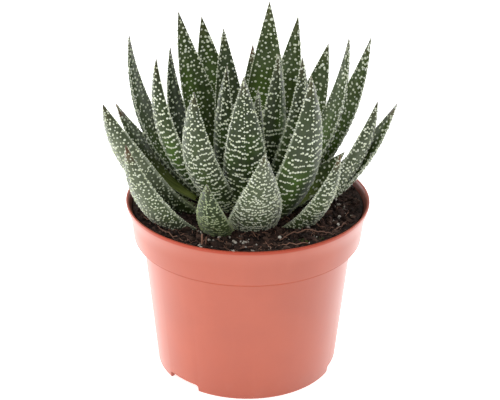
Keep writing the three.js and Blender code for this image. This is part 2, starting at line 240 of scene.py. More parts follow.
class Paint:
    """A material whose nodes are added by name."""

    made = {}

    def __init__(self, name):
        self.material = bpy.data.materials.new(name)
        Paint.made[name] = self.material
        self.material.use_nodes = True
        self.tree = self.material.node_tree
        self.surface = self.tree.nodes["Principled BSDF"]

    def node(self, kind, settings=None, inputs=None):
        """Adds a node. Its inputs go by name or number."""
        made = self.tree.nodes.new(kind)
        for key, value in (settings or {}).items():
            setattr(made, key, value)
        for key, value in (inputs or {}).items():
            self.join(made.inputs[key], value)
        return made

    def join(self, entry, value):
        """Links a value to an input, or sets the input to a plain number or colour."""
        if isinstance(value, Value):
            self.tree.links.new(value.socket, entry)
        else:
            entry.default_value = value

    def set(self, **inputs):
        """Sets the surface's inputs, named with _ for a space."""
        for key, value in inputs.items():
            self.join(self.surface.inputs[key.replace("_", " ")], value)

    def attribute(self, name):
        """What give() stored on the piece under this name."""
        return Value(self, self.node("ShaderNodeAttribute", {"attribute_name": name}).outputs["Fac"])

    def place(self, stretch=(1, 1, 1)):
        """Where on the piece a point is, stretched along each axis."""
        here = Value(self, self.node("ShaderNodeTexCoord").outputs["Object"])
        node = self.node("ShaderNodeMapping", None, {"Vector": here, "Scale": stretch})
        return Value(self, node.outputs[0])

    def parts(self, vector):
        node = self.node("ShaderNodeSeparateXYZ", None, {0: vector})
        return [Value(self, part) for part in node.outputs]

    def vector(self, x, y, z):
        node = self.node("ShaderNodeCombineXYZ", None, {0: x, 1: y, 2: z})
        return Value(self, node.outputs[0])

    def noise(self, where, scale, detail=4, roughness=0.55):
        inputs = {"Vector": where, "Scale": scale, "Detail": detail, "Roughness": roughness}
        return Value(self, self.node("ShaderNodeTexNoise", None, inputs).outputs[0])

    def cells(self, where, scale):
        node = self.node("ShaderNodeTexVoronoi", None, {"Vector": where, "Scale": scale})
        return Value(self, node.outputs["Distance"])

    def mix(self, share, first, second):
        """From the first colour, at share 0, to the second, at 1."""
        node = self.node("ShaderNodeMix", {"data_type": "RGBA"}, {0: share})
        self.join(node.inputs[6], first if isinstance(first, Value) else (*first, 1))
        self.join(node.inputs[7], second if isinstance(second, Value) else (*second, 1))
        return Value(self, node.outputs[2])

    def bump(self, height, depth, strength):
        inputs = {"Height": height, "Distance": depth, "Strength": strength}
        return Value(self, self.node("ShaderNodeBump", None, inputs).outputs[0])


def plastic_paint(pot):
    """Salmon terracotta-coloured plastic: satin, faintly mottled and streaked, dusty under the lip, with
    painted shade inside, under the collar and along the lip.
    """
    paint = Paint("satin_plastic")
    where = paint.place()
    x, y, height = paint.parts(where)
    radius = (x * x + y * y) ** 0.5
    top = pot.height
    collar = top - pot.collar
    cloud = paint.noise(where, 28, 5)
    streak = paint.noise(paint.place((90, 90, 7)), 1, 4)
    speck = paint.noise(where, 1400, 2)
    colour = paint.mix(cloud.from_to(0.35, 0.7), pot.plastic, (0.425, 0.066, 0.0185))
    colour = paint.mix(streak.from_to(0.5, 0.8) * 0.35, colour, (0.46, 0.092, 0.038))

    # Painted shade: the lip is painted a deeper, darker orange, fully in front and only a fifth as strongly
    # at the sides, where light pales it.
    front_lip_shade = 0.2 + 0.8 * y.from_to(-0.025, -0.05)
    lip = height.from_to(top - 0.002, top - 0.0012) * front_lip_shade
    colour = paint.mix(lip * 0.9, colour, (0.36, 0.036, 0.008))
    dust = paint.noise(where, 170, 6, 0.7).from_to(0.62, 0.8) * height.from_to(top - 0.0128, top + 0.0002)
    colour = paint.mix(dust * 0.5, colour, (0.33, 0.2, 0.15))
    grime = paint.noise(where, 90, 4).from_to(0.5, 0.85) * height.from_to(0.012, 0.0)
    colour = paint.mix(grime * 0.4, colour, (0.46, 0.16, 0.11))

    # Painted shade, partly peat stain: the wall inside is painted near black from the soil up to just under
    # the lip.
    flare = (height - (top - 0.0032)).or_more(0) * 0.4
    inner_wall = 0.0548 + (height - collar - 0.0025) * 0.124 + flare
    inside = (radius - inner_wall).from_to(0.0009, 0.0004) * height.from_to(collar + 0.0009, collar + 0.0019)
    inside = inside * height.from_to(top - 0.0003, top - 0.0016)
    colour = paint.mix(inside * (0.8 + 0.2 * cloud), colour, (0.045, 0.018, 0.013))

    # Painted shade: a darker line in the corner under the collar.
    crease_shade = height.from_to(collar - 0.0014, collar - 0.0002)
    crease_shade = crease_shade * height.from_to(collar + 0.0016, collar + 0.0004)
    colour = paint.mix(crease_shade * 0.4, colour, (0.24, 0.036, 0.012))

    dull = inside.or_more(crease_shade).or_more(lip * 0.7)
    gloss = 0.33 + cloud * 0.08 + streak.from_to(0.5, 0.8) * 0.08
    paint.set(Base_Color=colour, Roughness=gloss + dull * 0.6)
    paint.set(Coat_Weight=0.6 - dull * 0.6, Coat_Roughness=0.3)
    paint.set(Subsurface_Weight=0.06, Subsurface_Scale=0.002)
    paint.set(Normal=paint.bump(speck + cloud * 3, 0.00002, 0.6))
    return paint.material


def soil_paint(soil):
    """Damp peat: near black with purple-brown crumbs and a few straw-coloured flecks."""
    paint = Paint("damp_peat")
    where = paint.place()
    clod = paint.noise(where, 260, 6, 0.65)
    crumb = paint.cells(where, 620)
    fleck = paint.noise(paint.place((500, 1300, 900)), 1, 2)
    colour = paint.mix(clod.from_to(0.35, 0.7), (0.008, 0.0045, 0.0038), soil.peat)
    colour = paint.mix(crumb.from_to(0.5, 0.1) * 0.5, colour, (0.055, 0.034, 0.026))
    colour = paint.mix(fleck.from_to(0.72, 0.78) * 0.7, colour, (0.2, 0.13, 0.075))
    colour = paint.mix(paint.attribute("shade") * 0.8, colour, (0.125, 0.075, 0.055))
    rusty = paint.noise(where, 150, 3).from_to(0.5, 0.7)
    colour = paint.mix(rusty * 0.55, colour, (0.075, 0.037, 0.027))
    paint.set(Base_Color=colour, Roughness=0.78 + clod * 0.2, Specular_IOR_Level=0.2)
    paint.set(Normal=paint.bump(clod * 2 + crumb, 0.0006, 0.9))
    return paint.material


def perlite_paint():
    """White foamed grains, stained by the peat."""
    paint = Paint("perlite")
    where = paint.place()
    pits = paint.cells(where, 2600)
    stain = paint.noise(where, 420, 4)
    colour = paint.mix(stain.from_to(0.42, 0.68) * 0.75, (0.66, 0.63, 0.56), (0.22, 0.17, 0.13))
    colour = paint.mix(pits.from_to(0.5, 0.15) * 0.4, colour, (0.36, 0.31, 0.26))
    paint.set(Base_Color=colour, Roughness=0.9)
    paint.set(Normal=paint.bump(pits, 0.0002, 0.8))
    return paint.material


def fibre_paint():
    """Dry root and straw fibres, straw to dark brown."""
    paint = Paint("root_fibre")
    shade = paint.attribute("shade")
    grain = paint.noise(paint.place((900, 900, 900)), 1, 3)
    colour = paint.mix(shade, (0.07, 0.03, 0.02), (0.29, 0.15, 0.1))
    colour = paint.mix(grain.from_to(0.5, 0.75) * 0.5, colour, (0.14, 0.075, 0.04))
    paint.set(Base_Color=colour, Roughness=0.75, Normal=paint.bump(grain, 0.0001, 0.6))
    return paint.material


def moss_paint():
    """A little green moss on the soil."""
    paint = Paint("moss")
    tuft = paint.noise(paint.place(), 900, 3)
    colour = paint.mix(tuft.from_to(0.35, 0.65), (0.012, 0.02, 0.004), (0.06, 0.085, 0.014))
    paint.set(Base_Color=colour, Roughness=0.9, Normal=paint.bump(tuft, 0.0003, 0.8))
    return paint.material


def stem_paint():
    """Pale corky stem between the leaf roots."""
    paint = Paint("corky_stem")
    ring = paint.noise(paint.place((60, 60, 700)), 1, 4)
    colour = paint.mix(ring.from_to(0.4, 0.65), (0.3, 0.27, 0.13), (0.14, 0.09, 0.045))
    paint.set(Base_Color=colour, Roughness=0.8, Normal=paint.bump(ring, 0.0004, 0.7))
    return paint.material


# What a leaf's material reads at each point of its skin.
LEAF_FACTS = ("along", "side", "outer", "wart")


def leaf_paint(settings):
    """Dark green waxy skin with cream warts, a pale toothed edge, yellow feet and sun-browned tips, with
    painted sheen and painted light.
    """
    paint = Paint("waxy_leaf")
    along, side, outer, wart = [paint.attribute(name) for name in LEAF_FACTS]
    blush, yellow, faint, bloom_and_sheen = [paint.attribute(name) for name in LEAF_TRAITS]
    tone = paint.attribute("tone")
    where = paint.place()
    cloud = paint.noise(where, 75, 4)
    mottle = paint.noise(where, 420, 3)
    vein = paint.noise(paint.vector(along * 6 + tone * 31, side * 7, outer * 5), 1, 5, 0.6)
    fleck = paint.cells(where, 1500)

    # The inner face, fresh green here and there, with a painted grey sheen that grows towards the tip.
    clear = cloud.from_to(0.44, 0.62) * along.from_to(0.92, 0.5) * 0.6 + paint.attribute("fresh")
    inner_skin = paint.mix(vein.from_to(0.3, 0.7), (0.024, 0.046, 0.005), settings.inner)
    inner_skin = paint.mix(clear * 0.8, inner_skin, (0.08, 0.155, 0.01))
    inner_grey_sheen = cloud.from_to(0.42, 0.6) * along.from_to(0.3, 0.9) * 0.3
    inner_skin = paint.mix(inner_grey_sheen, inner_skin, (0.15, 0.18, 0.12))

    # The outer face, darker, under a grey waxy bloom that is partly painted sheen.
    outer_skin = paint.mix(vein.from_to(0.3, 0.7), (0.009, 0.018, 0.003), settings.outer)
    outer_skin = paint.mix(clear * (0.9 - 0.45 * bloom_and_sheen), outer_skin, (0.062, 0.135, 0.008))
    waxy_bloom_and_sheen = bloom_and_sheen * along.from_to(0.1, 0.6) * (0.5 + 0.5 * cloud.from_to(0.6, 0.4))
    waxy_bloom_and_sheen = waxy_bloom_and_sheen * (0.4 + 0.6 * along.from_to(1.0, 0.8))
    outer_skin = paint.mix(waxy_bloom_and_sheen, outer_skin, (0.15, 0.176, 0.11))

    skin = paint.mix(outer, inner_skin, outer_skin)
    skin = paint.mix(tone * 0.35, skin, (0.024, 0.04, 0.012))
    skin = paint.mix(fleck.from_to(0.25, 0.08) * 0.25, skin, (0.2, 0.24, 0.13))

    # The tip pales, dries at its very end and reddens in the sun.
    skin = paint.mix(along.from_to(0.85, 1.02) * 0.2, skin, (0.14, 0.18, 0.07))
    skin = paint.mix(along.from_to(0.975, 1.0) * 0.6, skin, (0.3, 0.27, 0.15))
    skin = paint.mix(along.from_to(0.86, 1.0) * blush * 0.9, skin, (0.24, 0.09, 0.055))

    # The foot is yellow and streaked: partly its own colour, partly painted light, brightest on the shaded
    # inner face.
    foot = along.from_to(0.25 + yellow * 0.3, 0.0)
    foot_colour_and_light = paint.mix(vein.from_to(0.35, 0.65), (0.6, 0.7, 0.2), (0.32, 0.42, 0.09))
    foot_colour_and_light = paint.mix(outer, foot_colour_and_light, (0.055, 0.09, 0.008))
    skin = paint.mix(foot * (0.15 + yellow * 0.75), skin, foot_colour_and_light)

    # Pale along both edges, and cream on the warts.
    edge = side.size().from_to(0.96, 0.985) * (0.42 - 0.25 * foot)
    skin = paint.mix(edge, skin, (0.5, 0.55, 0.42))
    cream = paint.mix(mottle.from_to(0.35, 0.7), (0.6, 0.65, 0.47), settings.cream)
    cream = paint.mix(foot * (0.2 + yellow * 0.5), cream, (0.36, 0.43, 0.17))
    cream = paint.mix(faint, cream, (0.2, 0.26, 0.1))
    skin = paint.mix(wart.from_to(0.1, 0.75), skin, cream)
    paint.set(Base_Color=skin, Roughness=0.42 + cloud * 0.12 - wart * 0.05)
    paint.set(Specular_IOR_Level=0.22, Coat_Weight=0.06, Coat_Roughness=0.3)
    paint.set(Sheen_Weight=0.38, Sheen_Roughness=0.35)
    paint.set(Subsurface_Weight=0.1, Subsurface_Scale=0.0012)
    relief = (vein + fleck * 0.6) * 0.05 - side * side * 1.5
    paint.set(Subsurface_Radius=(1.0, 1.0, 0.3), Normal=paint.bump(relief, 0.001, 1.0))
    return paint.material


def floor_paint():
    """Plain white floor, lit a little from within so that it stays white."""
    paint = Paint("white_floor")
    grain = paint.noise(paint.place(), 300, 3)
    paint.set(Base_Color=paint.mix(grain, (0.88, 0.88, 0.88), (0.9, 0.9, 0.9)), Roughness=0.9)
    paint.set(Emission_Color=(1, 1, 1, 1), Emission_Strength=0.75)
    return paint.material


# ---------------------------------------------------------------- modelling help

def alone(piece):
    """Deselects everything and makes this the one selected and active object."""
    bpy.ops.object.select_all(action="DESELECT")
    piece.select_set(True)
    bpy.context.view_layer.objects.active = piece


def new_piece(name, points, faces=(), edges=()):
    """An object of these points, in metres, linked to the scene."""
    mesh = bpy.data.meshes.new(name)
    mesh.from_pydata(points, edges, faces)
    mesh.update()
    piece = bpy.data.objects.new(name, mesh)
    bpy.context.scene.collection.objects.link(piece)
    return piece


def give(piece, name, values):
    """Stores one number for each point of the piece, for its material."""
    layer = piece.data.attributes.new(name, "FLOAT", "POINT")
    layer.data.foreach_set("value", np.asarray(values, dtype=np.float32))


def smooth(piece, degrees):
    """Shades the piece smooth, but for edges sharper than this."""
    alone(piece)
    bpy.ops.object.shade_smooth_by_angle(angle=math.radians(degrees))


def finish_piece(piece, material, slot, *nodes):
    """Gives the piece its material, hangs it under the root body and hides the model's parts that it stands
    for.
    """
    piece.data.materials.clear()
    piece.data.materials.append(material)
    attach(piece, "root")
    if nodes:
        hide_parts(*nodes)


ARC_STEPS = 5               # of each rounded corner


def softened(corners):
    """A run of (radius, height, rounding) corners in mm, each rounded off by an arc."""
    run = []
    for index, (x, y, rounding) in enumerate(corners):
        here = Vector((x, y))
        if rounding == 0 or index in (0, len(corners) - 1):
            run.append(here)
            continue
        before = Vector(corners[index - 1][:2]) - here
        after = Vector(corners[index + 1][:2]) - here
        reach = min(rounding, before.length * 0.48, after.length * 0.48)
        start = here + before.normalized() * reach
        end = here + after.normalized() * reach
        for step in range(ARC_STEPS + 1):
            t = step / ARC_STEPS
            run.append(start * (1 - t) ** 2 + here * 2 * t * (1 - t) + end * t * t)
    return run


def turned(name, corners, steps):
    """Spins a rounded profile, which starts and ends on the axis, once round it."""
    run = softened(corners)
    points = [(p.x * MM, 0, p.y * MM) for p in run]
    piece = new_piece(name, points, edges=[(i, i + 1) for i in range(len(run) - 1)])
    alone(piece)
    bpy.ops.object.mode_set(mode="EDIT")
    bpy.ops.mesh.select_all(action="SELECT")
    bpy.ops.mesh.spin(steps=steps, angle=2 * math.pi, center=(0, 0, 0), axis=(0, 0, 1))
    bpy.ops.mesh.select_all(action="SELECT")
    bpy.ops.mesh.remove_doubles(threshold=0.00001)
    bpy.ops.mesh.normals_make_consistent(inside=False)
    bpy.ops.object.mode_set(mode="OBJECT")
    return piece


def cut(piece, cutter):
    """Takes the cutter out of the piece."""
    alone(piece)
    made = piece.modifiers.new("cut", "BOOLEAN")
    made.operation = "DIFFERENCE"
    made.solver = "EXACT"
    made.object = cutter
    bpy.ops.object.modifier_apply(modifier=made.name)
    bpy.data.objects.remove(cutter, do_unlink=True)


def settle(piece):
    """Puts the piece's place into its mesh."""
    alone(piece)
    bpy.ops.object.transform_apply(location=True, rotation=True, scale=True)


def clamped(value):
    """The value, kept within 0..1."""
    return min(1, max(0, value))


# ---------------------------------------------------------------- pot

NOTCH_AZIMUTHS = (76.5, 196.5, 316.5)
FOOT_HEIGHT = 4             # of the foot ring, mm
FOOT_RING = 2.4             # how wide it is
FLOOR_TOP = 5.8             # height of the pot's floor inside
BODY_TOP = 51.9             # radius of the body just under the collar
DRAIN_REACH = 33            # from the axis to a drain hole
NOTCH_DEPTH = 0.012         # in metres, through the foot ring and clear of it on both sides
NOTCH_ROUND = 0.0014        # in metres, how much its corners are rounded


def pot_corners(pot):
    """The moulded wall's section, from under the floor, up the outside, over the lip and down the inside."""
    base = pot.base / MM
    top = pot.height / MM
    lip = pot.lip / MM
    wall = pot.wall / MM
    collar = top - pot.collar / MM
    slope = (BODY_TOP - base) / collar
    under = [
        (0, FOOT_HEIGHT, 0),
        (base - FOOT_RING, FOOT_HEIGHT, 0.7),
        (base - FOOT_RING, 0, 0.7),
    ]
    outside = [
        (base, 0, 0.9),
        (base + slope * (collar - 1.5), collar - 1.5, 0.8),
        (52.7, collar, 0.5),
        (55.6, collar, 0.6),
        (56.4, collar + 1.1, 0.9),
        (57.7, top - 7.5, 5),
        (lip - 0.3, top - 1.5, 1.3),
        (lip, top, 0.5),
    ]
    inside = [
        (lip - 1.1, top, 0.4),
        (57.1, top - 3.2, 1.2),
        (54.8, collar + 2.5, 1.6),
        (50.4, collar, 1.5),
        (base + slope * FLOOR_TOP - wall, FLOOR_TOP, 1.5),
        (0, FLOOR_TOP, 0),
    ]
    return under + outside + inside


def cut_notch(piece, pot, out, turn):
    """Cuts one round-cornered notch through the foot ring."""
    bpy.ops.object.select_all(action="DESELECT")
    bpy.ops.mesh.primitive_cube_add(size=1, location=out * pot.base)
    notch = bpy.context.object
    notch.scale = (pot.notch, NOTCH_DEPTH, 2 * FOOT_HEIGHT * MM - 0.0006)
    notch.rotation_euler = (0, 0, turn)
    settle(notch)
    bpy.ops.object.mode_set(mode="EDIT")
    bpy.ops.mesh.select_all(action="SELECT")
    bpy.ops.mesh.bevel(offset=NOTCH_ROUND, segments=4)
    bpy.ops.object.mode_set(mode="OBJECT")
    cut(piece, notch)


def cut_drain(piece, pot, out):
    """Cuts one drain hole through the floor."""
    place = out * DRAIN_REACH * MM + Vector((0, 0, FOOT_HEIGHT * MM))
    bpy.ops.mesh.primitive_cylinder_add(radius=pot.drain, depth=0.01, vertices=40, location=place)
    drain = bpy.context.object
    settle(drain)
    cut(piece, drain)


class GASTERIA_OT_make_pot(Operator):
    """Turn the pot, cut its three foot notches and drain holes"""

    bl_idname = "gasteria.make_pot"
    bl_label = "Make pot"

    def execute(self, context):
        pot = context.scene.gasteria_pot
        piece = turned("nursery_pot", pot_corners(pot), pot.steps)
        for azimuth in NOTCH_AZIMUTHS:
            turn = math.radians(azimuth)
            out = Vector((math.sin(turn), -math.cos(turn), 0))
            cut_notch(piece, pot, out, turn)
            cut_drain(piece, pot, out)
        smooth(piece, 35)
        finish_piece(piece, plastic_paint(pot), "terracotta_plastic", "pot")
        return {"FINISHED"}


# ---------------------------------------------------------------- soil

SOIL_EDGE = 56.7            # radius of the soil where it meets the wall, mm
SOIL_FOOT = 5.95            # height of its underside, just clear of the pot's floor
HEAPED = 1.7                # how much higher it lies against the wall
HEAPED_FROM = 49            # radius from which it rises to the wall


def soil_height(soil, radius):
    """Height of the soil's smooth mound, in mm."""
    return soil.edge / MM + soil.mound / MM * (1 - (radius / SOIL_EDGE) ** 2)


def lumpy(x, y):
    """Clods and crumbs at a place in mm, as a height of about -1..1."""
    clods = noise.noise(Vector((x * 0.11, y * 0.11, 1.7)))
    crumbs = noise.noise(Vector((x * 0.38, y * 0.38, 5.1)))
    grains = noise.noise(Vector((x * 1.15, y * 1.15, 9.3)))
    return 0.3 * clods + 0.4 * crumbs + 0.45 * grains


def soil_top(soil, x, y):
    """Height of the soil's rough surface at a place, in mm."""
    radius = math.hypot(x, y)
    rough = lumpy(x, y) * soil.lumps / MM
    heaped = HEAPED * clamped((radius - HEAPED_FROM) / 6) ** 2
    even = clamped((57 - radius) / 3)
    return soil_height(soil, radius) + heaped + rough * even - 0.2


def on_soil(soil, x, y, above):
    """A place in metres, this far above the soil's surface."""
    return Vector((x, y, soil_top(soil, x, y) + above)) * MM


def strewn(dice, reach, bare):
    """A random distance from the middle and way round it. Bare is the share of the disc left empty."""
    return reach * math.sqrt(dice.uniform(bare, 1)), dice.uniform(0, 2 * math.pi)


class GASTERIA_OT_make_soil(Operator):
    """Fill the pot with rough peat down to its floor"""

    bl_idname = "gasteria.make_soil"
    bl_label = "Make soil"

    def execute(self, context):
        soil = context.scene.gasteria_soil
        rings = 92
        spokes = 300
        points = [(0, 0, soil_top(soil, 0, 0))]
        for ring in range(1, rings + 1):
            radius = SOIL_EDGE * ring / rings
            for spoke in range(spokes):
                turn = 2 * math.pi * spoke / spokes
                x = radius * math.cos(turn)
                y = radius * math.sin(turn)
                points.append((x, y, soil_top(soil, x, y)))
        # Down the wall, and in over the pot's floor, as (radius, height).
        side = [(54.7, 71.2), (50.1, 68.4), (48, 40)]
        side += [(44.2, SOIL_FOOT), (30, SOIL_FOOT), (15, SOIL_FOOT)]
        for radius, height in side:
            for spoke in range(spokes):
                turn = 2 * math.pi * spoke / spokes
                points.append((radius * math.cos(turn), radius * math.sin(turn), height))
        points.append((0, 0, SOIL_FOOT))
        faces = []
        levels = rings + len(side)
        for spoke in range(spokes):
            after = (spoke + 1) % spokes
            faces.append((0, 1 + spoke, 1 + after))
            for level in range(levels - 1):
                low = 1 + level * spokes
                faces.append((low + spoke, low + spokes + spoke, low + spokes + after, low + after))
            last = 1 + (levels - 1) * spokes
            faces.append((last + after, last + spoke, len(points) - 1))
        piece = new_piece("potting_soil", [(x * MM, y * MM, z * MM) for x, y, z in points], faces)
        smooth(piece, 50)
        finish_piece(piece, soil_paint(soil), "potting_soil", "soil")
        return {"FINISHED"}


def lump(size, seed, facets):
    """One irregular, flattened grain about its own middle."""
    bpy.ops.object.select_all(action="DESELECT")
    bpy.ops.mesh.primitive_ico_sphere_add(subdivisions=facets, radius=size)
    piece = bpy.context.object
    for point in piece.data.vertices:
        push = noise.noise(point.co * (1.3 / size) + Vector((seed, seed * 2, 0)))
        point.co *= 1 + 0.9 * push
        point.co.z *= 0.75
    return piece


def scattered(name, models, spots):
    """Copies of the models at each (place, size, turn, which model), joined as one piece."""
    points = []
    faces = []
    for place, size, turn, pick in spots:
        model = models[pick % len(models)].data
        spin = Matrix.Rotation(turn, 3, (0.3, 0.2, 1))
        start = len(points)
        points.extend([place + spin @ (v.co * size) for v in model.vertices])
        faces.extend([[start + i for i in f.vertices] for f in model.polygons])
    for model in models:
        bpy.data.objects.remove(model, do_unlink=True)
    return new_piece(name, points, faces)


CRUMB_SIZES = (0.35, 0.45, 0.5, 0.6, 0.7, 0.9, 1.1, 1.6)
BARK_SIZE = 2.4
# Where the larger bits of bark lie, (x, y) in mm from the middle.
BARK = [(-29, -31), (-42, -28), (39, -12), (30, -47), (-14, -47), (46, -10)]


def crumb_spots(soil, dice):
    """Where the crumbs of peat and the bits of bark lie. Those by the wall are small."""
    spots = []
    for count in range(soil.grit):
        radius, turn = strewn(dice, reach=55.3, bare=0.2)
        size = dice.choice(CRUMB_SIZES) * (0.7 if radius > 54 else 1)
        place = on_soil(soil, radius * math.cos(turn), radius * math.sin(turn), 0.2 * size)
        spots.append((place, size, dice.uniform(0, 6), count))
    for x, y in BARK:
        spots.append((on_soil(soil, x, y, 0.6), BARK_SIZE, dice.uniform(0, 6), round(x)))
    return spots


def perlite_spots(soil, dice):
    """Where the grains of perlite lie, one to three in a heap. Every fourth heap is in front."""
    spots = []
    for count in range(soil.perlite):
        radius, turn = strewn(dice, reach=54.5, bare=0.5)
        if count % 4 == 0:
            turn = -math.pi / 2 + dice.uniform(-0.7, 0.7)
        for grain in range(dice.choice((1, 1, 2, 3))):
            x = radius * math.cos(turn) + dice.uniform(-1.6, 1.6) * (grain > 0)
            y = radius * math.sin(turn) + dice.uniform(-1.6, 1.6) * (grain > 0)
            size = (0.25 + 0.6 * dice.random() ** 1.4) * (1.2 if grain == 0 else 0.7)
            if math.hypot(x, y) < 55.2:
                place = on_soil(soil, x, y, 0.5 + 0.2 * size)
                spots.append((place, size, dice.uniform(0, 6), count + grain))
    return spots


class GASTERIA_OT_make_grit(Operator):
    """Strew crumbs of peat and grains of perlite over the soil"""

    bl_idname = "gasteria.make_grit"
    bl_label = "Make grit"

    def execute(self, context):
        soil = context.scene.gasteria_soil
        dice = random.Random(3)
        spots = crumb_spots(soil, dice)
        crumbs = scattered("peat_crumbs", [lump(MM, seed, 1) for seed in range(5)], spots)
        shades = np.array([dice.random() ** 3 for spot in spots])
        give(crumbs, "shade", np.repeat(shades, len(crumbs.data.vertices) // len(spots)))
        smooth(crumbs, 40)
        finish_piece(crumbs, Paint.made["damp_peat"], "potting_soil")

        spots = perlite_spots(soil, dice)
        grains = scattered("perlite_grains", [lump(MM, seed + 9, 2) for seed in range(6)], spots)
        smooth(grains, 60)
        finish_piece(grains, perlite_paint(), "potting_soil")
        return {"FINISHED"}


def tube(points, radius):
    """Points and faces of a thin tube along a run of places, thin and closed at both ends."""
    sides = 6
    ring_points = []
    faces = []
    for index, point in enumerate(points):
        before = points[max(index - 1, 0)]
        after = points[min(index + 1, len(points) - 1)]
        ahead = (after - before).normalized()
        level = ahead.cross(Vector((0, 0, 1)))
        if level.length < 0.01:
            level = Vector((1, 0, 0))
        level.normalize()
        upward = level.cross(ahead)
        thin = radius * (0.35 + 0.65 * math.sin(math.pi * (index + 0.6) / (len(points) + 0.2)) ** 0.5)
        for side in range(sides):
            turn = 2 * math.pi * side / sides
            ring_points.append(point + level * thin * math.cos(turn) + upward * thin * math.sin(turn))
    for index in range(len(points) - 1):
        for side in range(sides):
            a = index * sides + side
            b = index * sides + (side + 1) % sides
            faces.append((a, a + sides, b + sides, b))
    last = (len(points) - 1) * sides
    faces.append(tuple(range(sides)))
    faces.append(tuple(range(last + sides - 1, last - 1, -1)))
    return ring_points, faces


# Each long fibre by the places it passes over, (x, y, height above the soil) in mm, and its thickness.
LONG_FIBRES = [
    ([(15, -42, 1), (20, -39, 3.5), (27, -38, 4.5), (33, -37, 4), (38, -36, 2), (41, -34, 0.5)], 0.32),
    ([(13, -48, 0.5), (18, -47, 1.5), (24, -46, 1.5), (29, -44, 0.5)], 0.28),
    ([(3, -35, 0.5), (7, -36, 1.5), (11, -34, 0.5)], 0.26),
    ([(-1, -31, 0.5), (2, -35, 1.5), (4, -39, 0.5)], 0.24),
    ([(40, -33, 0.5), (45, -25, 1.5), (48, -19, 0.5)], 0.24),
    ([(-50, -20, 0.5), (-46, -24, 2), (-42, -30, 1), (-40, -33, 0.5)], 0.28),
    ([(-21, -47, -1), (-21, -46, 5.5)], 0.52),
    ([(-19.5, -47, -1), (-19, -46.5, 4.5)], 0.42),
    ([(-42, -30, 0.5), (-37, -36, 1), (-30, -42, 0.5)], 0.22),
    ([(-8, -51, 0.5), (0, -49, 1), (8, -50, 0.5)], 0.2),
]
SHORT_FIBRES = 420          # how many are strewn at random
MOSS_MIDDLE = (31, -40)     # of the mossy patch, mm
MOSS_TUFTS = 90


def short_fibre(dice):
    """A crooked run of places on the soil, as in the list above."""
    radius, turn = strewn(dice, reach=53, bare=0.15)
    run = [Vector((radius * math.cos(turn), radius * math.sin(turn), 0.3))]
    heading = dice.uniform(0, 2 * math.pi)
    for step in range(dice.choice((3, 4, 6))):
        heading += dice.uniform(-0.7, 0.7)
        ahead = Vector((math.cos(heading), math.sin(heading), 0)) * dice.uniform(1, 2.2)
        run.append(run[-1] + ahead)
        run[-1].z = dice.uniform(0.1, 1.1)
    return run


def curved(run):
    """A smooth curve through the run's places."""
    fine = []
    for index in range(len(run) - 1):
        before = run[max(index - 1, 0)]
        after = run[min(index + 2, len(run) - 1)]
        for step in range(4):
            t = step / 4
            a = run[index] + (run[index + 1] - before) * t / 6
            b = run[index + 1] - (after - run[index]) * (1 - t) / 6
            fine.append(a.lerp(b, t))
    fine.append(run[-1])
    return fine


def moss_spots(soil, dice):
    """Where the tufts of moss lie, close together in one patch."""
    spots = []
    for count in range(MOSS_TUFTS):
        x = MOSS_MIDDLE[0] + dice.gauss(0, 3.2)
        y = MOSS_MIDDLE[1] + dice.gauss(0, 1.5)
        if math.hypot(x, y) > 54:
            continue
        spots.append((on_soil(soil, x, y, 0.1), dice.uniform(0.5, 1.1), dice.uniform(0, 6), count))
    return spots


class GASTERIA_OT_make_fibres(Operator):
    """Lay loose root and straw fibres on the soil, and a little moss"""

    bl_idname = "gasteria.make_fibres"
    bl_label = "Make fibres"

    def execute(self, context):
        soil = context.scene.gasteria_soil
        dice = random.Random(8)
        runs = []
        for places, thickness in LONG_FIBRES:
            runs.append(([Vector(p) for p in places], thickness, dice.uniform(0.45, 1)))
        for count in range(SHORT_FIBRES):
            run = short_fibre(dice)
            if all(math.hypot(p.x, p.y) < 54.5 for p in run):
                runs.append((run, dice.uniform(0.08, 0.2), dice.random()))
        points = []
        faces = []
        shades = []
        for run, thickness, shade in runs:
            placed = [on_soil(soil, p.x, p.y, p.z) for p in curved(run)]
            more, more_faces = tube(placed, thickness * MM)
            start = len(points)
            points.extend(more)
            faces.extend([tuple(start + i for i in face) for face in more_faces])
            shades.extend([shade] * len(more))
        piece = new_piece("root_fibres", points, faces)
        give(piece, "shade", shades)
        smooth(piece, 60)
        finish_piece(piece, fibre_paint(), "potting_soil")

        models = [lump(0.6 * MM, seed + 21, 2) for seed in range(4)]
        moss = scattered("moss_tufts", models, moss_spots(soil, dice))
        smooth(moss, 60)
        finish_piece(moss, moss_paint(), "potting_soil")
        return {"FINISHED"}


# ---------------------------------------------------------------- leaves

# The blade's form, as shares of its length and half width.
HEEL = -0.13                # how far it runs on behind its root, into the stem
FULL_WIDTH_AT = 0.68        # how far from the tip it is widest
TAPER_POWER = 1.75          # how full it stays towards the tip
ROOT_NARROWING = 0.22       # how much narrower it is at the root
KEEL_ROUND = 1.6            # how round the keel is over its middle
KEEL_FULL = 0.6             # how full it stays towards the edges
EDGE_RISE = 6               # how suddenly the edges lift


def polar(reach, azimuth, height):
    """A place from how far out it is, its azimuth from the front in degrees and its height."""
    turn = math.radians(azimuth)
    return np.array([reach * math.sin(turn), -reach * math.cos(turn), height])


def unit(vectors):
    """The same directions at length 1."""
    return vectors / np.linalg.norm(vectors, axis=-1, keepdims=True)


